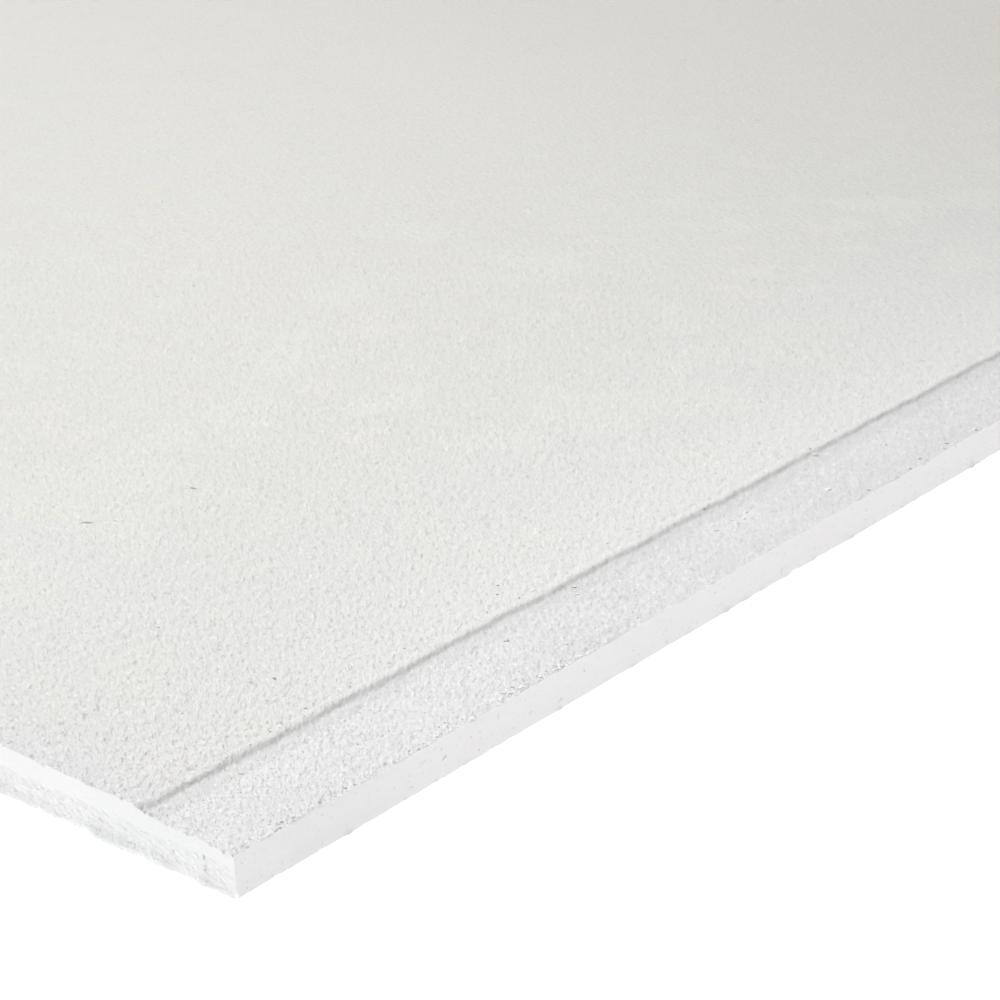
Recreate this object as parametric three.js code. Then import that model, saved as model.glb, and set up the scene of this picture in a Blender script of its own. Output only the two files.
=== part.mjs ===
// A gypsum fibre drywall board, lying flat on its back face.
// Millimetres, +Z up, long edges along Y. The origin is the middle of the back face.
import * as THREE from "three";

// Driving dimensions
const LENGTH = 2500; // along Y, square-cut end to square-cut end
const WIDTH = 1250; // along X, long edge to long edge
const THICKNESS = 12.5; // full thickness between the recessed edges

// The flattened strip pressed into the front face along each long edge.
// Distances are measured inwards from the long edge, depths down from the front face.
const SHOULDER_AT = 28.6; // where the front face starts to turn down
const STEP_TOP_AT = 27.9; // start of the steep part of the step
const STEP_FOOT_AT = 26.9; // end of the steep part of the step
const STEP_TOP_DEPTH = 0.13;
const STEP_FOOT_DEPTH = 0.78;
const FLAT_FROM = 22.0; // the strip is level from here ...
const FLAT_TO = 6.0; // ... to here
const FLAT_DEPTH = 1.48;
const EDGE_DEPTH = 1.78; // where the strip runs out at the long edge

const FRONT_ARRIS = 0.4; // broken edge between strip and long side face
const BACK_ARRIS = 0.3; // broken edge between back face and long side face
const ARRIS_STEPS = 4; // facets in each broken edge
const CURVE_STEPS = 5; // facets in each smooth bend of the step

const BOARD_COLOUR = 0xe6e6e1;
const BOARD_ROUGHNESS = 0.95;

// Section of the right-hand recess, from the front face out to the long edge,
// as [distance in from the edge, height above the back face].
function recessProfile() {
  const level = (depth) => THICKNESS - depth;
  const shoulder = new THREE.QuadraticBezierCurve(
    new THREE.Vector2(SHOULDER_AT, level(0)),
    new THREE.Vector2(
      STEP_TOP_AT +
        ((STEP_TOP_DEPTH - 0) * (STEP_TOP_AT - STEP_FOOT_AT)) /
          (STEP_FOOT_DEPTH - STEP_TOP_DEPTH),
      level(0),
    ),
    new THREE.Vector2(STEP_TOP_AT, level(STEP_TOP_DEPTH)),
  );
  const foot = new THREE.QuadraticBezierCurve(
    new THREE.Vector2(STEP_FOOT_AT, level(STEP_FOOT_DEPTH)),
    new THREE.Vector2(STEP_FOOT_AT - 0.7, level(STEP_FOOT_DEPTH + 0.2)),
    new THREE.Vector2(FLAT_FROM, level(FLAT_DEPTH)),
  );
  const arris = new THREE.QuadraticBezierCurve(
    new THREE.Vector2(FRONT_ARRIS, level(EDGE_DEPTH)),
    new THREE.Vector2(0, level(EDGE_DEPTH)),
    new THREE.Vector2(0, level(EDGE_DEPTH + FRONT_ARRIS)),
  );
  return [
    ...shoulder.getPoints(CURVE_STEPS),
    ...foot.getPoints(CURVE_STEPS),
    new THREE.Vector2(FLAT_TO, level(FLAT_DEPTH)),
    ...arris.getPoints(ARRIS_STEPS),
  ];
}

// Section of the broken edge at the back, from the side face to the back face.
function backArris() {
  return new THREE.QuadraticBezierCurve(
    new THREE.Vector2(0, BACK_ARRIS),
    new THREE.Vector2(0, 0),
    new THREE.Vector2(BACK_ARRIS, 0),
  ).getPoints(ARRIS_STEPS);
}

// The whole section, anticlockwise: right half from the back face up to the front,
// then its mirror image down the left side.
function boardSection() {
  const half = WIDTH / 2;
  const rightDown = [...recessProfile(), ...backArris()];
  const right = rightDown
    .map((p) => new THREE.Vector2(half - p.x, p.y))
    .reverse();
  const left = rightDown.map((p) => new THREE.Vector2(p.x - half, p.y));
  return new THREE.Shape([...right, ...left]);
}

const board = new THREE.Mesh(
  new THREE.ExtrudeGeometry(boardSection(), {
    depth: LENGTH,
    steps: 1,
    bevelEnabled: false,
  }),
  new THREE.MeshStandardMaterial({
    color: BOARD_COLOUR,
    roughness: BOARD_ROUGHNESS,
    metalness: 0,
  }),
);
board.name = "gypsum_board";
board.rotation.x = Math.PI / 2;
board.position.y = LENGTH / 2;

const sheet = new THREE.Group();
sheet.add(board);

export default sheet;
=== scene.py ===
"""A gypsum fibre drywall board, lying flat: looks, floor, light and camera."""

import math

import bpy
import numpy as np
from mathutils import Matrix, Vector


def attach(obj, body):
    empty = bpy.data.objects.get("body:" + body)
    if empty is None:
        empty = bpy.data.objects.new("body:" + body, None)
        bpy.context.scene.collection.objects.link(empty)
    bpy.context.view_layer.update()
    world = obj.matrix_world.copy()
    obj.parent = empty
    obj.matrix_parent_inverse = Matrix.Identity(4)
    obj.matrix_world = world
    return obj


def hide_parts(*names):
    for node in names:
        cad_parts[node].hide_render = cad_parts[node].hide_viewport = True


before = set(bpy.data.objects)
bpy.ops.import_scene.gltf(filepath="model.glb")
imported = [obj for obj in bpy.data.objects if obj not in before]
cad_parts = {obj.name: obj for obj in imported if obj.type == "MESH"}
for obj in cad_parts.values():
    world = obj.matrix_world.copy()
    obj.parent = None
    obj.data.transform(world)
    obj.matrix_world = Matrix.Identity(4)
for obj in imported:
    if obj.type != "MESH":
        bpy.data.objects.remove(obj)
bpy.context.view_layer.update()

MM = 0.001

# The board, in millimetres, as the CAD has it
WIDTH = 1250.0
LENGTH = 2500.0
THICK = 12.5
HX, HY = WIDTH / 2, LENGTH / 2


# ---------------------------------------------------------------- noise
def _hash(ix, iy, seed):
    h = (ix * 374761393 + iy * 668265263 + seed * 1274126177) & 0xFFFFFFFF
    h = ((h ^ (h >> 13)) * 1274126177) & 0xFFFFFFFF
    h = ((h ^ (h >> 15)) * 668265263) & 0xFFFFFFFF
    return ((h ^ (h >> 16)) & 0xFFFFFF) / float(0x1000000)


def value_noise(x, y, seed):
    """Smooth noise from -1 to 1, one bump to a unit."""
    x, y = np.broadcast_arrays(np.asarray(x, float), np.asarray(y, float))
    ix, iy = np.floor(x).astype(np.int64), np.floor(y).astype(np.int64)
    fx, fy = x - ix, y - iy
    fx = fx * fx * fx * (fx * (fx * 6 - 15) + 10)
    fy = fy * fy * fy * (fy * (fy * 6 - 15) + 10)
    a, b = _hash(ix, iy, seed), _hash(ix + 1, iy, seed)
    c, d = _hash(ix, iy + 1, seed), _hash(ix + 1, iy + 1, seed)
    return 2 * ((a + (b - a) * fx) * (1 - fy) + (c + (d - c) * fx) * fy) - 1


def fbm(x, y, seed, octaves=3, gain=0.5):
    total, size, reach = 0.0, 1.0, 0.0
    for k in range(octaves):
        turn = 0.6 * k
        cx, sx = math.cos(turn), math.sin(turn)
        px = (np.asarray(x) * cx - np.asarray(y) * sx) * 2.03**k
        py = (np.asarray(x) * sx + np.asarray(y) * cx) * 2.03**k
        total = total + size * value_noise(px, py, seed + 17 * k)
        reach += size
        size *= gain
    return total / reach


def cells(x, y, seed):
    """Distance to the nearest of one scattered point to a unit cell, and that point's own number."""
    x, y = np.broadcast_arrays(np.asarray(x, float), np.asarray(y, float))
    ix, iy = np.floor(x).astype(np.int64), np.floor(y).astype(np.int64)
    best = np.full(x.shape, 9.0)
    tag = np.zeros(x.shape)
    for dx in (-1, 0, 1):
        for dy in (-1, 0, 1):
            cx, cy = ix + dx, iy + dy
            px = cx + 0.5 + 0.9 * (_hash(cx, cy, seed) - 0.5)
            py = cy + 0.5 + 0.9 * (_hash(cx, cy, seed + 5) - 0.5)
            d = np.hypot(px - x, py - y)
            near = d < best
            best = np.where(near, d, best)
            tag = np.where(near, _hash(cx, cy, seed + 11), tag)
    return best, tag


def smooth(lo, hi, v):
    t = np.clip((np.asarray(v, float) - lo) / (hi - lo), 0, 1)
    return t * t * (3 - 2 * t)


# ---------------------------------------------------------------- section
def _section():
    """Depth below the full height, by the distance in from a long edge."""
    d = np.linspace(0, 36, 1441)
    lump = lambda at, up, down: np.exp(-(((d - at) / np.where(d > at, up, down)) ** 2) / 2)  # noqa: E731
    fall = 0.78 * lump(27.52, 0.51, 0.46)
    fall = fall - 0.15 * lump(30.3, 0.6, 0.5) + 0.08 * lump(31.7, 0.5, 0.5)
    foot = np.clip((d - 21.8) / 1.6, 0, 1) * np.clip((27.4 - d) / 1.0, 0, 1)
    fall = fall + 0.145 * foot
    step = np.cumsum(fall[::-1])[::-1] * (d[1] - d[0])
    return d, step + 0.3 * np.clip(1 - d / 6.0, 0, 1)


_d, _depth = _section()


def strip_depth(d):
    """How far the front face lies below its full height, d millimetres in from a long edge."""
    return np.interp(d, _d, _depth, right=0.0)


# ---------------------------------------------------------------- points of the skin
# Places across the front face, measured in from a long edge, with the number of
# steps to the next place beside the photographed corner and beside the other edge.
ACROSS = [
    (0.0, 1, 1),
    (0.15, 1, 1),
    (0.4, 1, 1),
    (0.8, 1, 1),
    (1.5, 2, 1),
    (3.0, 3, 1),
    (6.0, 6, 1),
    (12.0, 6, 1),
    (18.0, 4, 1),
    (22.0, 3, 1),
    (24.5, 2, 1),
    (26.0, 1, 1),
    (26.6, 1, 1),
    (27.0, 1, 1),
    (27.3, 1, 1),
    (27.6, 1, 1),
    (27.9, 1, 1),
    (28.2, 1, 1),
    (28.5, 1, 1),
    (28.9, 1, 1),
    (29.4, 1, 1),
    (30.0, 1, 1),
    (30.5, 1, 1),
    (30.9, 1, 1),
    (31.4, 1, 1),
    (31.9, 1, 1),
    (32.5, 1, 1),
    (33.3, 1, 1),
    (34.4, 3, 1),
    (38.0, 9, 1),
    (50.0, 17, 2),
    (80.0, 16, 2),
    (130.0, 12, 2),
    (200.0, 10, 3),
    (300.0, 9, 4),
    (450.0, 7, 6),
    (625.0, 0, 0),
]
UNDER = [0.0, 0.3, 1.0, 2.5, 6.0, 15.0, 30.0, 80.0, 200.0, 400.0, 625.0]


def across(level):
    """x of the front face's points, from the left long edge to the right one."""
    right, left = [], []
    for (d, n, m), (e, _, _) in zip(ACROSS, ACROSS[1:]):
        n = max(1, round(n / level))
        m = max(1, round(m / max(level / 2, 1)))
        right += [HX - (d + (e - d) * k / n) for k in range(n)]
        left += [-HX + d + (e - d) * k / m for k in range(m)]
    return np.array(left + [0.0] + right[::-1])


def under(fine):
    if fine:
        return across(0.5)
    x = [HX - d for d in UNDER]
    return np.array([-v for v in x[:-1]] + x[::-1])


def rows_along():
    """y of the rows, from the near end to the far end, with each row's level of detail."""
    steps = [0.0, 0.2, 0.45, 0.75, 1.1, 1.5, 2.0, 2.6, 3.3]
    level = [0.5] * 6 + [0.7, 0.8, 0.9]
    s = steps[-1]

    def run(to, step, lev):
        nonlocal s
        n = max(1, round((to - s) / step))
        for k in range(1, n + 1):
            steps.append(s + (to - s) * k / n)
            level.append(lev)
        s = to

    run(60, 1.0, 1)
    run(180, 1.5, 1)
    run(400, 2.4, 2)
    run(900, 5.5, 2)
    run(1500, 24, 4)
    run(2400, 45, 4)
    run(2490, 15, 4)
    for k in (3.0, 5.5, 7.5, 8.8, 9.5, 9.8, 10.0):
        steps.append(2490 + k)
        level.append(3)
    return -HY + np.array(steps), level


def side_levels(kind):
    if kind == "cap":
        low = [0, 0.008, 0.02, 0.035, 0.05]
        return np.array(
            low
            + list(np.linspace(0.067, 0.32, 16))
            + list(np.linspace(0.35, 0.89, 17))
            + [0.915, 0.94, 0.962, 0.98, 0.992, 1]
        )
    if kind == "near":
        return np.array(
            [0, 0.02, 0.05, 0.1, 0.18, 0.28, 0.4, 0.52, 0.64, 0.76, 0.86, 0.93, 0.97, 0.99, 1]
        )
    if kind == "mid":
        return np.array([0, 0.03, 0.1, 0.3, 0.5, 0.7, 0.9, 0.97, 1])
    return np.array([0, 0.04, 0.3, 0.7, 0.96, 1])


class Skin:
    """Rows of points on the faces of the plain board, stitched into triangles."""

    def __init__(self):
        self.points, self.faces, self.out = [], [], []
        self.count = 0

    def row(self, pts):
        start = self.count
        self.points.append(pts)
        self.count += len(pts)
        return start, len(pts)

    def stitch(self, a, ta, b, tb, out):
        """Joins row a, whose points are at ta from 0 to 1, to row b at tb."""
        (ia, na), (ib, nb) = a, b
        i = j = 0
        while i < na - 1 or j < nb - 1:
            if j == nb - 1 or (i < na - 1 and ta[i + 1] <= tb[j + 1]):
                self.faces.append((ia + i, ia + i + 1, ib + j))
                i += 1
            else:
                self.faces.append((ia + i, ib + j + 1, ib + j))
                j += 1
            self.out.append(out)

    def sheet(self, rows, out):
        """rows is a list of (parameters, points)."""
        last = None
        for t, pts in rows:
            now = self.row(pts)
            if last is not None:
                self.stitch(last[0], last[1], now, t, out)
            last = (now, t)

    def welded(self):
        pts = np.vstack(self.points)
        faces = np.array(self.faces)
        out = np.array(self.out, float)
        keys, first, inverse = np.unique(
            np.round(pts, 5), axis=0, return_index=True, return_inverse=True
        )
        inverse = inverse.reshape(-1)
        faces = inverse[faces]
        pts = pts[first]
        keep = (
            (faces[:, 0] != faces[:, 1])
            & (faces[:, 1] != faces[:, 2])
            & (faces[:, 0] != faces[:, 2])
        )
        faces, out = faces[keep], out[keep]
        a, b, c = (pts[faces[:, k]] for k in range(3))
        flip = np.einsum("ij,ij->i", np.cross(b - a, c - a), out) < 0
        faces[flip] = faces[flip][:, ::-1]
        return pts, faces


def plain_board():
    skin = Skin()
    ys, levels = rows_along()
    top_z = lambda x: THICK - strip_depth(HX - np.abs(x))  # noqa: E731
    edge_z = float(top_z(HX))

    def kind_at(k, right):
        if k == 0:
            return "cap"
        s = ys[k] + HY
        if not right:
            return "far"
        return "near" if s < 260 else ("mid" if s < 1100 else "far")

    top, bottom, right, left = [], [], [], []
    last = len(ys) - 1
    for k, (y, lev) in enumerate(zip(ys, levels)):
        x = across(lev)
        top.append(
            ((x + HX) / WIDTH, np.stack([x, np.full_like(x, y), top_z(x)], 1))
        )
        x = under(ys[k] + HY < 2.5 and lev < 0.75)
        bottom.append(
            ((x + HX) / WIDTH, np.stack([x, np.full_like(x, y), 0 * x], 1))
        )
        for side, rows in ((1, right), (-1, left)):
            t = side_levels("far" if k == last else kind_at(k, side > 0))
            rows.append(
                (t, np.stack([0 * t + side * HX, 0 * t + y, t * edge_z], 1))
            )
    skin.sheet(top, (0, 0, 1))
    skin.sheet(bottom, (0, 0, -1))
    skin.sheet(right, (1, 0, 0))
    skin.sheet(left, (-1, 0, 0))

    near = []
    for t in side_levels("cap"):
        x = across(0.5)
        near.append(
            ((x + HX) / WIDTH, np.stack([x, 0 * x - HY, t * top_z(x)], 1))
        )
    skin.sheet(near, (0, -1, 0))
    far = []
    for t in side_levels("far"):
        x = under(False) if t == 0 else across(levels[-1])
        far.append(((x + HX) / WIDTH, np.stack([x, 0 * x + HY, t * top_z(x)], 1)))
    skin.sheet(far, (0, 1, 0))
    return skin.welded()


# ---------------------------------------------------------------- relief
def bell(v, centre, width):
    return np.exp(-(((v - centre) / width) ** 2))


def relief(p):
    """Moves the plain board's points to the real one's uneven faces and broken edges."""
    x, y, z = p[:, 0].copy(), p[:, 1].copy(), p[:, 2].copy()
    sx, sy = np.sign(x), np.sign(y)
    d_side = HX - np.abs(x)
    d_end = HY - np.abs(y)
    level = THICK - strip_depth(d_side)
    d_top = level - z
    d_bottom = z
    front = bell(d_top, 0, 1.6) * (d_bottom > 3)

    # the line of the step wanders a little
    wander = 0.62 * fbm(y / 15, sx * 3.1, 31, 3) + 0.34 * fbm(y / 3.6, sx, 32, 2)
    shifted = d_side + wander * bell(d_side, 28.5, 4.5)
    steeper = 0.55 * fbm(y / 3.2, sx * 2.3, 33, 3, 0.6)
    shifted = shifted + steeper * (d_side - 27.6) * bell(d_side, 27.6, 1.6)
    # and turns inland over the last couple of millimetres before the cut
    shifted = shifted - 2.7 * np.exp(-((d_end / 1.25) ** 2)) * bell(d_side, 29.6, 3.3)
    dz = (strip_depth(d_side) - strip_depth(shifted)) * front

    # front face: a faint roll, and the pressed rim above the step
    strip = 1 - smooth(26.5, 30.0, d_side)
    roll = 0.03 * fbm(x / 60, y / 60, 1, 2) + 0.012 * fbm(x / 9, y / 9, 2, 2)
    roll_strip = 0.03 * fbm(x / 11, y / 11, 5, 2) + 0.05 * fbm(x / 2.6, y / 2.6, 4, 2) * smooth(
        700, 300, y + HY
    )
    rim = 0.03 * bell(d_side, 30.2, 0.9) * fbm(y / 5, 0, 6, 2)
    dz = dz + (roll * (1 - strip) + roll_strip * strip + rim) * front
    # the front sags slightly where it has crumbled along the cuts
    crumbled = np.clip(fbm(x / 4.1, y / 4.1, 12, 3) + 0.1, 0, 1)
    dz = dz - 0.45 * crumbled * np.exp(-d_end / 1.2) * front
    # small pits behind the cut and along the outer edge, and above the step
    pit, much = cells(x / 1.5, y / 1.5, 61)
    pit = smooth(0.42, 0.12, pit) * (much > 0.45)
    dz = dz - 0.75 * pit * bell(d_end, 0.7, 0.75) * front
    patchy = np.clip(0.25 + 1.8 * fbm(y / 14, 0, 62, 2), 0, 1) * smooth(200, 100, y + HY)
    dz = dz - 0.75 * pit * patchy * bell(d_side, 1.3, 0.9) * front
    pit, much = cells(x / 2.3, y / 2.3, 63)
    pit = smooth(0.35, 0.10, pit) * (much > 0.62)
    loose = np.clip(fbm(y / 30, 0, 64, 2) + 0.25, 0, 1) * smooth(25, 45, d_end)
    dz = dz - 0.80 * pit * loose * bell(d_side, 32.6, 2.2) * front

    # long sides
    f_side = 0.04 * fbm(y / 22, z / 5, 7, 2) + 0.012 * fbm(y / 3, z / 2, 8, 2)
    burr = 0.9 * np.clip(fbm(y / 3.1, 0, 17, 3, 0.8) - 0.30, 0, 1)
    for at, out in ((142.6, 0.3), (184.8, 0.5), (193.3, 0.6), (212.9, 0.3), (247.5, 0.45), (316.1, 0.6)):
        burr = burr + out * bell(y + HY, at, 1.1) * (sx > 0)
    dx = sx * (f_side + burr * smooth(1.0, 0.1, z)) * bell(d_side, 0, 1.5)

    # ends, sawn across: smooth above, torn in thin layers towards the back
    brink = 1.3 + 0.75 * fbm(x / 8, 0.0, 15, 3, 0.6)
    torn = smooth(9.5, 5.5, z + 1.5 * fbm(x / 12, 0, 13, 2)) * (0.25 + 0.75 * smooth(0.8, 1.6, z))
    f_end = 0.07 * fbm(x / 9, z / 4, 10, 2) + torn * (
        0.09 * fbm(x / 4.5, z / 1.2, 9, 3) + 0.07 * fbm(x / 1.5, z / 0.9, 14, 2) - 0.06
    )
    tongue = fbm(x / 12, 0.0, 11, 3, 0.6)
    ragged_lip = 0.25 + 0.7 * np.clip(tongue, -0.35, 1)
    own = HX - x  # the flakes beside the photographed corner
    ragged_lip = ragged_lip + np.where(
        sy < 0, 0.75 * bell(own, 39, 7) - 0.3 * bell(own, 17, 3) + 0.7 * bell(own, 9.5, 3) - 0.5 * bell(own, 0, 2)
        + 0.9 * smooth(66, 76, own) * smooth(140, 90, own), 0
    )
    f_end = f_end + ragged_lip * smooth(brink + 1.9, brink - 0.5, z)
    f_end = f_end - 0.10 * bell(z, brink + 0.1, 0.28) * np.clip(0.25 + 1.2 * fbm(x / 3.2, 0, 16, 3), 0, 1)
    dy = sy * f_end * bell(d_end, 0, 1.6)

    x, y, z = x + dx, y + dy, z + dz

    # broken edges: the corner of the section is cut back to a ragged chamfer
    def ragged(u, seed, base, extra, often, spare=99.0):
        chip = np.clip(0.75 * fbm(u / 2.6, 0, seed, 3, 0.7) + 0.45 * fbm(u / 0.9, 0, seed + 2, 2) - often, 0, 1)
        patch = np.clip(0.4 + fbm(u / 21, 0, seed + 1, 2), 0, 1)
        return base + extra * chip * (0.3 + 1.6 * patch) * smooth(0.5, 4.0, spare)

    def short(a, b, c):
        return np.where((a < 3) & (b < 3), np.clip(c - a - b, 0, None), 0) / 2

    cut = short(d_end, d_top, ragged(x, 41, 0.05, 2.1, 0.08, d_side))
    y, z = y - sy * cut, z - cut
    worn = 0.25 + 0.75 * smooth(170, 95, y + HY)
    cut = short(d_side, d_top, worn * ragged(y, 43, 0.0, 1.6, 0.24, d_end))
    x, z = x - sx * cut, z - cut
    cut = short(d_end, d_bottom, ragged(x, 45, 0.02, 0.5, 0.15))
    y, z = y - sy * cut, z + cut
    cut = short(d_side, d_bottom, ragged(y, 47, 0.02, 0.5, 0.2))
    x, z = x - sx * cut, z + cut
    c = 0.16 + 0.12 * value_noise(z / 1.7, sx * 9 + sy * 5, 49) + 0.7 * smooth(2.2, 0.2, z)
    cut = short(d_side, d_end, c)
    x, y = x - sx * cut, y - sy * cut
    return np.stack([x, y, np.clip(z, 0, None)], 1)


def mesh_object(name, points, faces, material, sharp=None):
    mesh = bpy.data.meshes.new(name)
    mesh.vertices.add(len(points))
    mesh.vertices.foreach_set("co", np.asarray(points, np.float32).ravel())
    mesh.loops.add(len(faces) * 3)
    mesh.loops.foreach_set("vertex_index", np.asarray(faces, np.int32).ravel())
    mesh.polygons.add(len(faces))
    mesh.polygons.foreach_set("loop_start", np.arange(len(faces), dtype=np.int32) * 3)
    mesh.polygons.foreach_set("loop_total", np.full(len(faces), 3, np.int32))
    mesh.update(calc_edges=True)
    mesh.validate()
    mesh.shade_smooth()
    if sharp is not None:
        mesh.set_sharp_from_angle(angle=math.radians(sharp))
    mesh.materials.append(material)
    obj = bpy.data.objects.new(name, mesh)
    bpy.context.scene.collection.objects.link(obj)
    return obj


# ---------------------------------------------------------------- materials
class Nodes:
    """Short names for building a node tree."""

    def __init__(self, name):
        self.mat = bpy.data.materials.new(name)
        self.mat.use_nodes = True
        self.tree = self.mat.node_tree
        self.tree.nodes.clear()

    def node(self, kind, **given):
        n = self.tree.nodes.new(kind)
        for key, value in given.items():
            setattr(n, key, value)
        return n

    def put(self, socket, value):
        if isinstance(value, bpy.types.NodeSocket):
            self.tree.links.new(value, socket)
        else:
            socket.default_value = value

    def math(self, op, a, b=None, c=None, clamp=False):
        n = self.node("ShaderNodeMath", operation=op, use_clamp=clamp)
        for k, v in enumerate((a, b, c)):
            if v is not None:
                self.put(n.inputs[k], v)
        return n.outputs[0]

    def ramp(self, v, lo, hi, a=0.0, b=1.0):
        n = self.node("ShaderNodeMapRange", interpolation_type="SMOOTHSTEP")
        for k, w in zip(("Value", "From Min", "From Max", "To Min", "To Max"), (v, lo, hi, a, b)):
            self.put(n.inputs[k], w)
        return n.outputs["Result"]

    def mix(self, f, a, b):
        n = self.node("ShaderNodeMix", data_type="RGBA")
        self.put(n.inputs["Factor"], f)
        self.put(n.inputs[6], a)
        self.put(n.inputs[7], b)
        return n.outputs[2]

    def blend(self, f, a, b):
        n = self.node("ShaderNodeMix", data_type="FLOAT")
        self.put(n.inputs["Factor"], f)
        self.put(n.inputs[2], a)
        self.put(n.inputs[3], b)
        return n.outputs[0]

    def noise(self, vector, per_m, detail=2.0, rough=0.5):
        n = self.node("ShaderNodeTexNoise", noise_dimensions="3D")
        self.put(n.inputs["Vector"], vector)
        n.inputs["Scale"].default_value = per_m
        n.inputs["Detail"].default_value = detail
        n.inputs["Roughness"].default_value = rough
        return n.outputs["Fac"]

    def voronoi(self, vector, per_m, feature="F1"):
        n = self.node("ShaderNodeTexVoronoi", feature=feature)
        self.put(n.inputs["Vector"], vector)
        n.inputs["Scale"].default_value = per_m
        return n

    def scaled(self, vector, by, move=(0, 0, 0), turn=0.0):
        n = self.node("ShaderNodeMapping")
        self.put(n.inputs["Vector"], vector)
        n.inputs["Scale"].default_value = by
        n.inputs["Location"].default_value = move
        n.inputs["Rotation"].default_value = (0, 0, math.radians(turn))
        return n.outputs[0]


def mm(v):
    return v * MM


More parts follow.
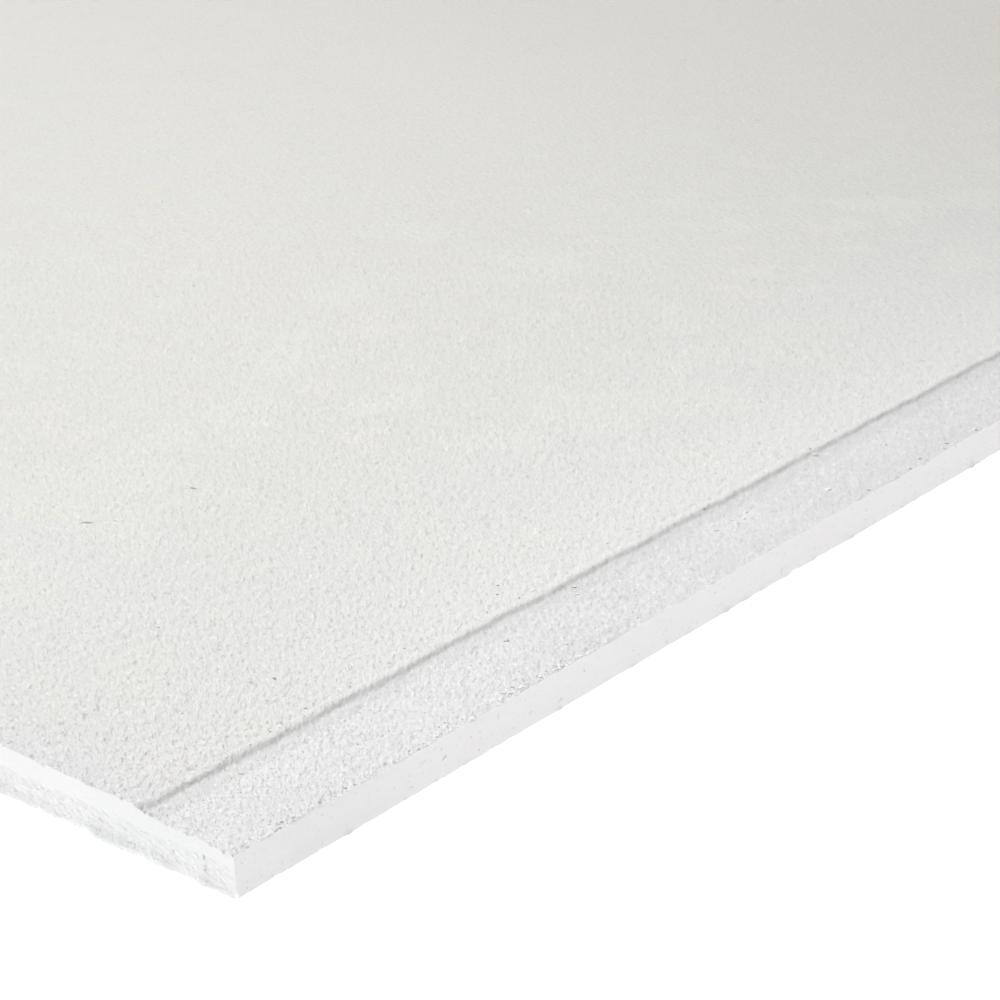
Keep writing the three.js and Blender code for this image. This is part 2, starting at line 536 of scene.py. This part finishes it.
def gypsum_material():
    k = Nodes("gypsum_fibre")
    place = k.node("ShaderNodeTexCoord").outputs["Object"]
    axes = k.node("ShaderNodeSeparateXYZ")
    k.put(axes.inputs[0], place)
    # how far in from a long edge and from a cut end, and how high, in metres
    in_side = k.math("SUBTRACT", mm(HX), k.math("ABSOLUTE", axes.outputs[0]))
    in_end = k.math("SUBTRACT", mm(HY), k.math("ABSOLUTE", axes.outputs[1]))
    high = axes.outputs[2]
    facing = k.node("ShaderNodeSeparateXYZ")
    k.put(facing.inputs[0], k.node("ShaderNodeNewGeometry").outputs["True Normal"])
    on_side = k.ramp(k.math("ABSOLUTE", facing.outputs[0]), 0.72, 0.85)
    on_end = k.ramp(k.math("ABSOLUTE", facing.outputs[1]), 0.62, 0.80)
    strip = k.ramp(in_side, mm(28.8), mm(27.2))

    # relief, as heights in millimetres
    # the grain opens out away from the corners of the sheet
    apart = k.math("ADD", k.math("MULTIPLY", in_side, in_side), k.math("MULTIPLY", in_end, in_end))
    apart = k.math("SQRT", apart)
    spread = k.math("MULTIPLY_ADD", k.math("MINIMUM", apart, mm(420)), 1 / mm(480), 1.0)
    spread = k.math("DIVIDE", 1.0, spread)
    local = k.node("ShaderNodeCombineXYZ")
    for socket, v in zip(local.inputs, (k.math("MULTIPLY", in_side, -1.0), in_end, high)):
        k.put(socket, v)
    opened = k.node("ShaderNodeVectorMath", operation="SCALE")
    k.put(opened.inputs[0], local.outputs[0])
    k.put(opened.inputs["Scale"], spread)
    along = k.scaled(k.scaled(opened.outputs[0], (1, 1, 1), turn=-48.5), (1.37, 0.68, 1.0))
    grain = k.noise(along, 600, 2.0, 0.5)
    crests = k.math("MAXIMUM", k.math("SUBTRACT", grain, 0.62), 0.0)
    hollows = k.math("MAXIMUM", k.math("SUBTRACT", 0.31, grain), 0.0)
    face_h = k.math("ADD", grain, k.math("MULTIPLY", crests, 1.0))
    face_h = k.math("SUBTRACT", face_h, k.math("MULTIPLY", hollows, 1.3))
    inland = k.math("MINIMUM", in_side, in_end)
    fade_in = k.math("EXPONENT", k.math("DIVIDE", apart, mm(-230)))
    t = k.math("DIVIDE", k.math("SUBTRACT", in_side, mm(27.0)), mm(2.9))
    line = k.math("EXPONENT", k.math("MULTIPLY", k.math("MULTIPLY", t, t), -1.0))
    on_main = k.math("MULTIPLY_ADD", fade_in, 0.92, 0.22)
    on_strip = k.ramp(in_end, mm(60), mm(260), 0.74, 0.44)
    strength = k.blend(strip, on_main, on_strip)
    strength = k.math("MULTIPLY", strength, k.math("MULTIPLY_ADD", line, -0.45, 1.0))
    broken = k.math("MULTIPLY", k.ramp(in_side, mm(4.0), mm(1.5)), k.ramp(in_end, mm(170), mm(90)))
    strength = k.math("MULTIPLY", strength, k.math("MULTIPLY_ADD", broken, 0.5, 1.0))
    strength = k.blend(on_side, strength, 0.16)
    face_h = k.math("MULTIPLY", face_h, strength)
    torn = k.ramp(k.math("ADD", high, k.math("MULTIPLY", grain, mm(3.0))), mm(9.0), mm(7.0))
    torn = k.math("MULTIPLY", torn, k.ramp(in_side, mm(1.2), mm(4.5), 0.25, 1.0))
    lay = k.scaled(place, (0.85, 1.0, 1.25))
    end_h = k.math("MULTIPLY", k.noise(lay, 800, 2.0, 0.6), k.blend(torn, 0.14, 0.46))
    h = k.blend(on_end, face_h, end_h)

    # colour
    wide = k.noise(place, 55, 2.0, 0.6)
    edge_wobble = k.math("MULTIPLY", k.math("SUBTRACT", wide, 0.5), mm(9.0))
    warm = k.ramp(inland, mm(110), mm(470))
    base = k.mix(k.ramp(inland, mm(50), mm(150)), (0.813, 0.819, 0.811, 1), (0.798, 0.799, 0.778, 1))
    base = k.mix(warm, base, (0.842, 0.834, 0.788, 1))
    tint = k.noise(k.scaled(place, (1, 1, 1), (0.7, 0.2, 0)), 34, 2.0, 0.5)
    base = k.mix(k.ramp(tint, 0.50, 0.70), base, (0.829, 0.832, 0.797, 1))
    base = k.mix(k.ramp(tint, 0.40, 0.26), base, (0.833, 0.825, 0.806, 1))
    # painted shade: the front face is painted darker from 480 to 850 mm along from the cut end, standing in for the
    # lamps' fall-off
    base = k.mix(k.ramp(in_end, mm(480), mm(850)), base, (0.809, 0.792, 0.753, 1))
    close = k.ramp(in_side, mm(75), mm(30))
    close = k.math("MULTIPLY", close, k.ramp(in_end, mm(20), mm(140), 0.5, 1.0))
    base = k.mix(close, base, (0.853, 0.857, 0.849, 1))
    dusty = k.ramp(k.math("ADD", in_end, edge_wobble), mm(15), mm(5))
    base = k.mix(dusty, base, (0.824, 0.826, 0.832, 1))
    strips = k.mix(k.ramp(wide, 0.44, 0.60), (0.848, 0.852, 0.861, 1), (0.876, 0.879, 0.888, 1))
    strips = k.mix(k.ramp(in_end, mm(62), mm(135)), strips, k.mix(k.ramp(wide, 0.44, 0.60), (0.812, 0.815, 0.823, 1), (0.835, 0.838, 0.847, 1)))
    col = k.mix(strip, base, strips)
    # painted shade: the sunk strip is painted darker along the foot of the step
    foot = k.math("MULTIPLY", k.ramp(in_side, mm(21.5), mm(24.0)), strip)
    col = k.mix(k.math("MULTIPLY", foot, 0.60), col, (0.800, 0.802, 0.808, 1))
    # painted shade: the step's riser is painted darker and cooler, the colour of its shadow, strongest near the cut
    # end
    t = k.math("DIVIDE", k.math("SUBTRACT", in_side, mm(27.55)), mm(0.95))
    painted_riser_shade = k.math("EXPONENT", k.math("MULTIPLY", k.math("MULTIPLY", t, t), -1.0))
    col = k.mix(k.math("MULTIPLY", painted_riser_shade, k.ramp(in_end, mm(120), mm(280), 0.9, 0.25)), col, (0.797, 0.808, 0.817, 1))
    # painted shade: the grain's hollows are darkened in colour as if shaded
    col = k.mix(k.math("MULTIPLY", hollows, 4.0, clamp=True), col, (0.62, 0.61, 0.58, 1))
    # single grains, paler and darker
    salt = k.noise(k.scaled(along, (1, 1, 1), (3.1, 1.7, 0.4)), 1150, 1.0, 0.5)
    clear = k.blend(strip, k.math("MULTIPLY_ADD", fade_in, 0.76, 0.32), k.math("MULTIPLY", on_strip, 1.3))
    light = k.math("MULTIPLY", k.ramp(salt, 0.56, 0.80), k.math("MULTIPLY", clear, k.blend(strip, 0.8, 1.25)), clamp=True)
    dark = k.math("MULTIPLY", k.ramp(salt, 0.44, 0.18), clear)
    col = k.mix(light, col, (0.98, 0.98, 0.975, 1))
    col = k.mix(dark, col, (0.64, 0.635, 0.62, 1))
    speck = k.noise(k.scaled(place, (1.0, 0.6, 1.0)), 1100, 1.0, 0.5)
    # painted light and shade: the long side is painted darker near the cut end and paler from 75 mm along
    sidec = k.mix(k.ramp(in_end, mm(28), mm(75)), (0.792, 0.792, 0.801, 1), (0.835, 0.829, 0.838, 1))
    sidec = k.mix(k.ramp(wide, 0.46, 0.64, 0.0, 0.6), sidec, (0.824, 0.814, 0.820, 1))
    sidec = k.mix(k.ramp(speck, 0.64, 0.84), sidec, (0.64, 0.63, 0.62, 1))
    col = k.mix(on_side, col, sidec)
    # the cut end: pale above, greyer where the layers tore, with painted shade as small dark dots for pits there
    endc = k.mix(k.ramp(wide, 0.42, 0.62), (0.841, 0.848, 0.850, 1), (0.848, 0.848, 0.850, 1))
    endc = k.mix(k.ramp(in_side, mm(35), mm(58)), endc, (0.861, 0.858, 0.860, 1))
    t = k.math("DIVIDE", k.math("SUBTRACT", in_side, mm(20)), mm(11))
    t = k.math("EXPONENT", k.math("MULTIPLY", k.math("MULTIPLY", t, t), -1.0))
    endc = k.mix(k.math("MULTIPLY", t, 0.8), endc, (0.822, 0.837, 0.833, 1))
    cloud = k.noise(k.scaled(place, (0.75, 1.0, 1.1)), 260, 2.0, 0.6)
    grey = k.math("MULTIPLY", torn, k.ramp(cloud, 0.36, 0.60, 0.15, 1.0))
    endc = k.mix(grey, endc, (0.806, 0.811, 0.811, 1))
    # painted shade: small dark dots stand in for shadowed pits where the layers tore
    pit = k.noise(k.scaled(place, (0.80, 1.0, 1.1)), 1500, 1.0, 0.5)
    painted_pit_shade = k.math("MULTIPLY", k.ramp(pit, 0.56, 0.74), k.blend(grey, 0.10, 0.85))
    endc = k.mix(painted_pit_shade, endc, (0.59, 0.59, 0.58, 1))
    low = k.ramp(k.math("ADD", high, k.math("MULTIPLY", edge_wobble, 0.06)), mm(1.5), mm(0.9))
    endc = k.mix(k.math("MULTIPLY", low, 0.75), endc, (0.850, 0.858, 0.858, 1))
    endc = k.mix(k.math("MULTIPLY", k.ramp(pit, 0.42, 0.28), 0.6), endc, (0.88, 0.885, 0.885, 1))
    col = k.mix(on_end, col, endc)

    bump = k.node("ShaderNodeBump")
    bump.inputs["Strength"].default_value = 1.0
    bump.inputs["Distance"].default_value = MM
    k.put(bump.inputs["Height"], h)
    shader = k.node("ShaderNodeBsdfPrincipled")
    shader.inputs["Roughness"].default_value = 0.95
    shader.inputs["Specular IOR Level"].default_value = 0.25
    k.put(shader.inputs["Base Color"], col)
    k.put(shader.inputs["Normal"], bump.outputs[0])
    out = k.node("ShaderNodeOutputMaterial")
    k.put(out.inputs["Surface"], shader.outputs[0])
    k.mat.cycles.use_bump_map_correction = False
    return k.mat


# ---------------------------------------------------------------- the board
points, faces = plain_board()
points = relief(points)
board = mesh_object("board", points * MM, faces, gypsum_material(), sharp=55)
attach(board, "root")
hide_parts("gypsum_board")
print("board triangles", len(faces))


# ---------------------------------------------------------------- loose grain
def lumps(centres, sizes, seed, flat=(0.4, 0.8), round_ones=False):
    """Small closed lumps of uneven shape, as points and triangles."""
    rng = np.random.default_rng(seed)
    if round_ones:
        g = (1 + 5**0.5) / 2
        base = np.array(
            [(-1, g, 0), (1, g, 0), (-1, -g, 0), (1, -g, 0), (0, -1, g), (0, 1, g)]
            + [(0, -1, -g), (0, 1, -g), (g, 0, -1), (g, 0, 1), (-g, 0, -1), (-g, 0, 1)]
        ) / math.hypot(1, g)
        tri = np.array(
            [(0, 11, 5), (0, 5, 1), (0, 1, 7), (0, 7, 10), (0, 10, 11), (1, 5, 9), (5, 11, 4)]
            + [(11, 10, 2), (10, 7, 6), (7, 1, 8), (3, 9, 4), (3, 4, 2), (3, 2, 6), (3, 6, 8)]
            + [(3, 8, 9), (4, 9, 5), (2, 4, 11), (6, 2, 10), (8, 6, 7), (9, 8, 1)]
        )
    else:
        base = np.array([(1, 0, 0), (-1, 0, 0), (0, 1, 0), (0, -1, 0), (0, 0, 1), (0, 0, -1)], float)
        tri = np.array(
            [(0, 2, 4), (2, 1, 4), (1, 3, 4), (3, 0, 4), (2, 0, 5), (1, 2, 5), (3, 1, 5), (0, 3, 5)]
        )
    n, m = len(centres), len(base)
    shape = base[None] * rng.uniform(0.65, 1.25, (n, m, 1)) + rng.normal(0, 0.08, (n, m, 3))
    shape[..., 2] *= rng.uniform(flat[0], flat[1], (n, 1))
    shape[..., 1] *= rng.uniform(0.7, 1.0, (n, 1))
    turn, tip = rng.uniform(0, 2 * math.pi, (n, 1)), rng.normal(0, 0.35, (n, 1))
    x, y, z = shape[..., 0], shape[..., 1], shape[..., 2]
    x, z = x * np.cos(tip) - z * np.sin(tip), x * np.sin(tip) + z * np.cos(tip)
    x, y = x * np.cos(turn) - y * np.sin(turn), x * np.sin(turn) + y * np.cos(turn)
    pts = np.stack([x, y, z], -1) * np.asarray(sizes)[:, None, None] / 2 + centres[:, None]
    return pts.reshape(-1, 3), (tri[None] + np.arange(n)[:, None, None] * m).reshape(-1, 3)


def on_front(x, y, up):
    """Points on the finished front face, raised by up millimetres."""
    p = np.stack([x, y, THICK - strip_depth(HX - np.abs(x))], 1)
    p = relief(p)
    p[:, 2] += up
    return p


def scattered(n, seed, reach, wide, long):
    """Places on the front face that thin out away from the photographed corner."""
    rng = np.random.default_rng(seed)
    far = reach * np.sqrt(np.expm1(rng.uniform(0, 1, 4 * n) * math.log1p((700 / reach) ** 2)))
    turn = rng.uniform(0, math.pi / 2, 4 * n)
    a, b = far * np.cos(turn), far * np.sin(turn)
    keep = (a > 0.2) & (b > 0.2) & (a < wide) & (b < long)
    a, b = a[keep][:n], b[keep][:n]
    return HX - a, -HY + b


def crumb_material(name, low, pale):
    k = Nodes(name)
    place = k.node("ShaderNodeTexCoord").outputs["Object"]
    tone = k.noise(place, 700, 1.0, 0.5)
    col = k.mix(k.ramp(tone, 0.3, 0.7), low, pale)
    bump = k.node("ShaderNodeBump")
    bump.inputs["Strength"].default_value = 0.4
    bump.inputs["Distance"].default_value = 0.2 * MM
    k.put(bump.inputs["Height"], k.noise(place, 4000, 1.0, 0.5))
    shader = k.node("ShaderNodeBsdfPrincipled")
    shader.inputs["Roughness"].default_value = 0.95
    shader.inputs["Specular IOR Level"].default_value = 0.25
    k.put(shader.inputs["Base Color"], col)
    k.put(shader.inputs["Normal"], bump.outputs[0])
    out = k.node("ShaderNodeOutputMaterial")
    k.put(out.inputs["Surface"], shader.outputs[0])
    return k.mat


def fibre_material(name, dark, pale):
    k = Nodes(name)
    place = k.node("ShaderNodeTexCoord").outputs["Object"]
    tone = k.noise(place, 900, 2.0, 0.6)
    shader = k.node("ShaderNodeBsdfPrincipled")
    shader.inputs["Roughness"].default_value = 0.8
    k.put(shader.inputs["Base Color"], k.mix(k.ramp(tone, 0.35, 0.65), dark, pale))
    out = k.node("ShaderNodeOutputMaterial")
    k.put(out.inputs["Surface"], shader.outputs[0])
    return k.mat


def loose(name, p, f, material):
    piece = mesh_object(name, p * MM, f, material, sharp=25)
    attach(piece, "root")
    print(name, "triangles", len(f))
    return piece


crumb = crumb_material("gypsum_grain", (0.80, 0.80, 0.78, 1), (0.88, 0.88, 0.865, 1))
pale_crumb = crumb_material("gypsum_crumb", (0.92, 0.92, 0.915, 1), (0.985, 0.985, 0.98, 1))
rng = np.random.default_rng(7)

# fine grains over the front face, and coarser ones on the sunk strip
x, y = scattered(9000, 71, 110, 700, 700)
size = 0.24 + 0.32 * rng.uniform(0, 1, len(x)) ** 2
p, f = lumps(on_front(x, y, 0.02 * size), size, 72)
x = HX - rng.uniform(0.8, 25, 1500)
y = -HY + 0.4 + rng.exponential(90, 1500)
size = 0.28 + 0.45 * rng.uniform(0, 1, len(x)) ** 2
q, g = lumps(on_front(x, y, 0.0 * size), size, 73)
loose("grains", np.vstack([p, q]), np.vstack([f, g + len(p)]), crumb)

# crumbs where the edges have broken
parts = []
n = 150  # along the top of the cut end
x = HX - rng.uniform(0.3, 110, n)
y = -HY + 0.15 + np.abs(rng.normal(0, 1.4, n))
parts.append((x, y, rng.uniform(0.3, 0.75, n)))
n = 430  # along the outer edge, most of them by the corner
y = -HY + np.concatenate([rng.uniform(2, 125, 240), rng.uniform(120, 420, n - 240)])
x = HX - 0.3 - np.abs(rng.normal(0, 1.3, n))
parts.append((x, y, 0.35 + 0.85 * rng.uniform(0, 1, n) ** 2.2 * (y < 125 - HY) + 0.1))
n = 130  # at the step
y = -HY + 20 + rng.exponential(90, n)
x = HX - 29.5 - np.abs(rng.normal(0, 2.2, n))
parts.append((x, y, 0.35 + 0.5 * rng.uniform(0, 1, n) ** 2))
named = [(23.9, 23.9, 0.9), (0.5, 11.2, 0.95), (1.1, 36.9, 1.2), (11.2, 1.5, 0.95), (7.9, 1.5, 0.9)]
named += [(0.5, 58.8, 1.3), (0.5, 79.8, 1.2), (1.6, 95.3, 1.3), (1.4, 98.8, 1.5), (1.6, 106.3, 1.3)]
named += [(2.5, 72.2, 1.6), (3.3, 73.8, 1.0), (1.1, 112.3, 1.4), (31.7, 73.5, 0.9), (33.4, 77.1, 0.9)]
named += [(20.1, 103.9, 0.9), (15.8, 103.8, 1.1), (18.2, 100.4, 0.9), (12.1, 126.3, 1.0), (7.5, 124.8, 1.1)]
named += [(25.9, 151.9, 1.6), (22.8, 149.7, 1.1), (10.6, 250.8, 2.0), (1.8, 265.6, 2.1), (1.6, 300.5, 1.8)]
named += [(1.6, 318.9, 1.8), (18.8, 206.5, 1.2), (22.8, 215.8, 1.3), (19.5, 214.9, 1.5), (16.6, 214.5, 1.2)]
named += [(19.4, 222.2, 1.4), (14.5, 209.9, 1.2), (21.5, 209.0, 1.3), (17.5, 218.0, 1.1), (32.7, 147.3, 1.8)]
named += [(31.3, 141.9, 1.5), (36.9, 135.3, 1.0), (27.1, 269.6, 1.8)]
parts.append([np.array(v) for v in zip(*[(HX - a, -HY + b, c) for a, b, c in named])])
x, y, size = (np.concatenate(v) for v in zip(*parts))
keep = (y > 3 - HY) | ((x < HX - 3.5) & (np.abs(HX - 28 - x) > 3))  # none in the notch or at the tip
x, y, size = x[keep], y[keep], size[keep]
size = np.where(y > 90 - HY, 1.35, 1.15) * size
p, f = lumps(on_front(x, y, -0.06 * size), size, 74, (0.40, 0.62), True)
loose("crumbs", p, f, pale_crumb)
# painted shadow: flat grey lumps beside the bigger crumbs stand in for the shade each crumb casts
painted_shadow_spots = [(HX - a - 0.75 * c, -HY + b - 0.65 * c, 0.5 * c) for a, b, c in named if c > 1.1 and b < 130]
x, y, size = (np.array(v) for v in zip(*painted_shadow_spots))
p, f = lumps(on_front(x, y, -0.05 * size), size, 75, (0.2, 0.4), True)
loose("crumb_shadow_lumps", p, f, crumb_material("painted_crumb_shadow", (0.62, 0.62, 0.61, 1), (0.74, 0.74, 0.73, 1)))


# ---------------------------------------------------------------- stray fibres
def slivers(centres, long, wide, turn, seed, upright=None):
    """Thin bent splinters, closed, lying on a face."""
    rng = np.random.default_rng(seed)
    n = len(centres)
    t = np.array([0.0, 0.3, 0.7, 1.0]) - 0.5
    thick = np.array([0.25, 1.0, 0.9, 0.2])
    pts = []
    for k in range(3):
        a = 2 * math.pi * k / 3 + rng.uniform(0, 1, (n, 1))
        u = t[None] * np.asarray(long)[:, None]
        bend = rng.normal(0, 0.5, (n, 1)) * (t[None] ** 2) * np.asarray(long)[:, None]
        v = bend + np.cos(a) * thick[None] * np.asarray(wide)[:, None] / 2
        w = np.sin(a) * thick[None] * np.asarray(wide)[:, None] / 2 * 0.7
        pts.append(np.stack([u, v, w], -1))
    pts = np.stack(pts, 2)  # sliver, ring, corner, axis
    c, s = np.cos(turn)[:, None, None], np.sin(turn)[:, None, None]
    u, v, w = pts[..., 0], pts[..., 1], pts[..., 2]
    u, v = u * c - v * s, u * s + v * c
    if upright == "end":
        pts = np.stack([u, w, v], -1)
    elif upright == "side":
        pts = np.stack([w, u, v], -1)
    else:
        pts = np.stack([u, v, w], -1)
    pts = (pts + centres[:, None, None]).reshape(-1, 3)
    tri = [(0, 2, 1), (9, 10, 11)]
    for r in range(3):
        for k in range(3):
            a, b = 3 * r + k, 3 * r + (k + 1) % 3
            tri += [(a, b, b + 3), (a, b + 3, a + 3)]
    tri = np.array(tri)
    if upright in ("end",):
        tri = tri[:, ::-1]
    return pts, (tri[None] + np.arange(n)[:, None, None] * 12).reshape(-1, 3)


def fibres(name, spots, seed, dark, pale):
    """spots: (face, across, along or up, length, width, turn in degrees), in millimetres."""
    pts, tris, count = [], [], 0
    for face in ("front", "end", "side"):
        rows = np.array([r[1:] for r in spots if r[0] == face], float)
        if not len(rows):
            continue
        a, b, long, wide, turn = rows.T
        if face == "front":
            centres = on_front(HX - a, -HY + b, 0.1 * wide)
        elif face == "end":
            centres = relief(np.stack([HX - a, 0 * a - HY, b], 1))
            centres[:, 1] -= 0.1 * wide
        else:
            centres = relief(np.stack([0 * a + HX, -HY + a, b], 1))
            centres[:, 0] += 0.1 * wide
        p, f = slivers(centres, long, wide, np.radians(turn), seed, None if face == "front" else face)
        pts.append(p)
        tris.append(f + count)
        count += len(p)
    return loose(name, np.vstack(pts), np.vstack(tris), fibre_material(name, dark, pale))


def strewn(n, seed, long, wide, reach=150):
    rng = np.random.default_rng(seed)
    x, y = scattered(n, seed + 1, reach, 900, 1600)
    return [
        ("front", HX - a, b + HY, *v)
        for a, b, v in zip(
            x,
            y,
            zip(rng.uniform(*long, len(x)), rng.uniform(*wide, len(x)), rng.uniform(0, 360, len(x))),
        )
    ]


fibres(
    "fibres_brown",
    strewn(26, 81, (0.4, 0.9), (0.16, 0.3))
    + [("front", 48.4, 63.3, 0.95, 0.55, 20), ("front", 47.9, 63.1, 0.6, 0.4, 100)]
    + [("front", 31.9, 48.2, 0.8, 0.35, 60), ("front", 34.9, 95.2, 0.7, 0.4, 20)]
    + [("front", 19.7, 116.3, 1.3, 0.35, 30), ("front", 3.6, 73.8, 1.5, 0.35, 35)]
    + [("front", 1.7, 113.0, 1.4, 0.5, 60), ("front", 2.3, 112.4, 0.8, 0.4, 150)]
    + [("front", 32.0, 56.5, 0.8, 0.4, 30), ("front", 30.4, 43.0, 0.7, 0.35, 60)]
    + [("front", 19.8, 117.1, 0.9, 0.35, 10), ("front", 28.1, 214.4, 1.6, 0.5, 80)],
    82,
    (0.36, 0.27, 0.20, 1),
    (0.54, 0.43, 0.33, 1),
)
fibres(
    "fibres_tan",
    strewn(70, 83, (0.5, 1.4), (0.18, 0.36))
    + [("front", 148.7, 136.1, 2.0, 0.8, 10), ("end", 9.2, 3.9, 1.0, 0.35, 10)]
    + [("side", 68.7, 5.2, 1.9, 0.35, 25), ("front", 90.5, 65.8, 0.8, 0.5, 40)]
    + [("front", 52.6, 36.7, 0.8, 0.5, 80)],
    84,
    (0.57, 0.54, 0.50, 1),
    (0.69, 0.66, 0.61, 1),
)
fibres(
    "fibres_pale",
    strewn(60, 87, (0.8, 2.0), (0.2, 0.4))
    + [("end", 9.3, 4.3, 1.8, 0.9, 60), ("end", 9.4, 6.9, 1.2, 0.9, 80)]
    + [("end", 19.0, 4.6, 1.6, 0.7, 50), ("side", 88.6, 8.1, 1.3, 0.3, 70)]
    + [("front", 153.9, 100.5, 3.4, 0.85, 35), ("front", 68.5, 82.8, 1.7, 0.5, 38)]
    + [("front", 115.9, 85.8, 1.5, 0.4, 0)],
    88,
    (0.64, 0.63, 0.60, 1),
    (0.76, 0.75, 0.71, 1),
)
# the strewn ones are dark fibres; the listed flecks sit beside crumbs, along the outer edge and above the step, and
# are painted shadow standing for their shade
fibres(
    "dark_fibres_and_shadow_flecks",
    strewn(120, 85, (0.26, 0.55), (0.2, 0.3))
    + [("front", 23.4, 25.9, 1.5, 0.35, 40)]
    + [("front", 31.4, 47.4, 0.8, 0.35, 20), ("front", 31.6, 71.4, 0.8, 0.35, 70)]
    + [("front", 41.9, 53.8, 0.7, 0.35, 130), ("front", 29.3, 35.3, 0.7, 0.3, 80)]
    + [("front", 0.4, 60.3, 0.9, 0.4, 95), ("front", 12.5, 52.9, 0.7, 0.3, 10)]
    + [("front", 14.9, 57.2, 0.7, 0.3, 150), ("front", 0.5, 14.5, 1.0, 0.45, 85)]
    + [("front", 1.2, 36.2, 0.9, 0.4, 60), ("front", 1.8, 49.9, 0.8, 0.35, 110)]
    + [("front", 2.1, 106.2, 1.0, 0.45, 100), ("front", 2.6, 93.8, 1.2, 0.35, 20)]
    + [("front", 3.1, 97.7, 1.0, 0.35, 30), ("front", 2.3, 288.1, 1.3, 0.55, 70)]
    + [("front", 0.6, 279.7, 1.4, 0.5, 90), ("front", 15.6, 291.2, 1.2, 0.5, 120)]
    + [("front", 1.6, 258.1, 1.3, 0.5, 30), ("front", 2.4, 303.9, 1.3, 0.45, 60)]
    + [("front", 37.0, 134.1, 0.8, 0.5, 50), ("front", 31.2, 136.0, 0.9, 0.5, 110)]
    + [("front", 40.3, 138.5, 0.8, 0.45, 20), ("front", 32.3, 124.2, 0.8, 0.45, 140)]
    + [("front", 29.4, 271.0, 1.6, 0.5, 138)],
    86,
    (0.38, 0.37, 0.355, 1),
    (0.55, 0.54, 0.52, 1),
)


# ---------------------------------------------------------------- floor
def floor_material():
    k = Nodes("pale_floor")
    diffuse = k.node("ShaderNodeBsdfDiffuse")
    diffuse.inputs["Color"].default_value = (0.30, 0.30, 0.30, 1)
    glow = k.node("ShaderNodeEmission")
    glow.inputs["Color"].default_value = (1, 1, 1, 1)
    glow.inputs["Strength"].default_value = 1.37
    both = k.node("ShaderNodeAddShader")
    k.put(both.inputs[0], diffuse.outputs[0])
    k.put(both.inputs[1], glow.outputs[0])
    out = k.node("ShaderNodeOutputMaterial")
    k.put(out.inputs["Surface"], both.outputs[0])
    return k.mat


floor_mesh = bpy.data.meshes.new("floor")
floor_mesh.from_pydata(
    [(-30, -30, -0.0002), (30, -30, -0.0002), (30, 30, -0.0002), (-30, 30, -0.0002)],
    [],
    [(0, 1, 2, 3)],
)
floor_mesh.materials.append(floor_material())
floor = bpy.data.objects.new("floor", floor_mesh)
bpy.context.scene.collection.objects.link(floor)


# ---------------------------------------------------------------- light
def softbox(name, place, aim, size, watts, colour=(1, 1, 1)):
    data = bpy.data.lights.new(name, "AREA")
    data.shape = "DISK"
    data.size = size
    data.energy = watts
    data.color = colour
    lamp = bpy.data.objects.new(name, data)
    lamp.location = place
    lamp.rotation_euler = (Vector(aim) - Vector(place)).to_track_quat("-Z", "Y").to_euler()
    lamp.visible_camera = False
    bpy.context.scene.collection.objects.link(lamp)


WARM = (1.031, 1.0, 0.974)
softbox("softbox_left", (-2.736, -2.384, 3.585), (0.26, -0.61, 0.0), 1.86, 138.3, (0.97, 1.0, 1.025))
softbox("softbox_over_corner", (0.692, -1.076, 0.816), (-0.156, -2.276, 0.0), 0.8, 2.71, WARM)
softbox("softbox_over_rear", (-0.8, 1.457, 2.634), (-0.79, 1.457, 0.0), 1.0, 28.6, WARM)

world = bpy.data.worlds.new("studio")
world.use_nodes = True
tree = world.node_tree
around = tree.nodes["Background"]
around.inputs["Color"].default_value = (1.0, 0.97, 0.945, 1)
around.inputs["Strength"].default_value = 0.273
behind = tree.nodes.new("ShaderNodeBackground")  # a plain white backdrop
behind.inputs["Color"].default_value = (1, 1, 1, 1)
behind.inputs["Strength"].default_value = 1.3
backdrop = tree.nodes.new("ShaderNodeMixShader")
tree.links.new(tree.nodes.new("ShaderNodeLightPath").outputs["Is Camera Ray"], backdrop.inputs[0])
tree.links.new(around.outputs[0], backdrop.inputs[1])
tree.links.new(behind.outputs[0], backdrop.inputs[2])
tree.links.new(backdrop.outputs[0], tree.nodes["World Output"].inputs[0])
bpy.context.scene.world = world
bpy.context.scene.view_settings.view_transform = "Standard"

# ---------------------------------------------------------------- camera
corner = Vector((HX * MM, -HY * MM, 0.0))
camera_data = bpy.data.cameras.new("camera")
camera_data.sensor_width = 36.0
camera_data.lens = 91.70
camera_data.clip_start = 0.01
camera_data.clip_end = 100.0
camera = bpy.data.objects.new("camera", camera_data)
camera.location = corner + Vector((0.33565, -0.32848, 0.28599))
azimuth, fall = math.radians(128.786), math.radians(22.598)
look = Vector(
    (math.cos(fall) * math.cos(azimuth), math.cos(fall) * math.sin(azimuth), -math.sin(fall))
)
camera.rotation_euler = look.to_track_quat("-Z", "Y").to_euler()
bpy.context.scene.collection.objects.link(camera)
bpy.context.scene.camera = camera
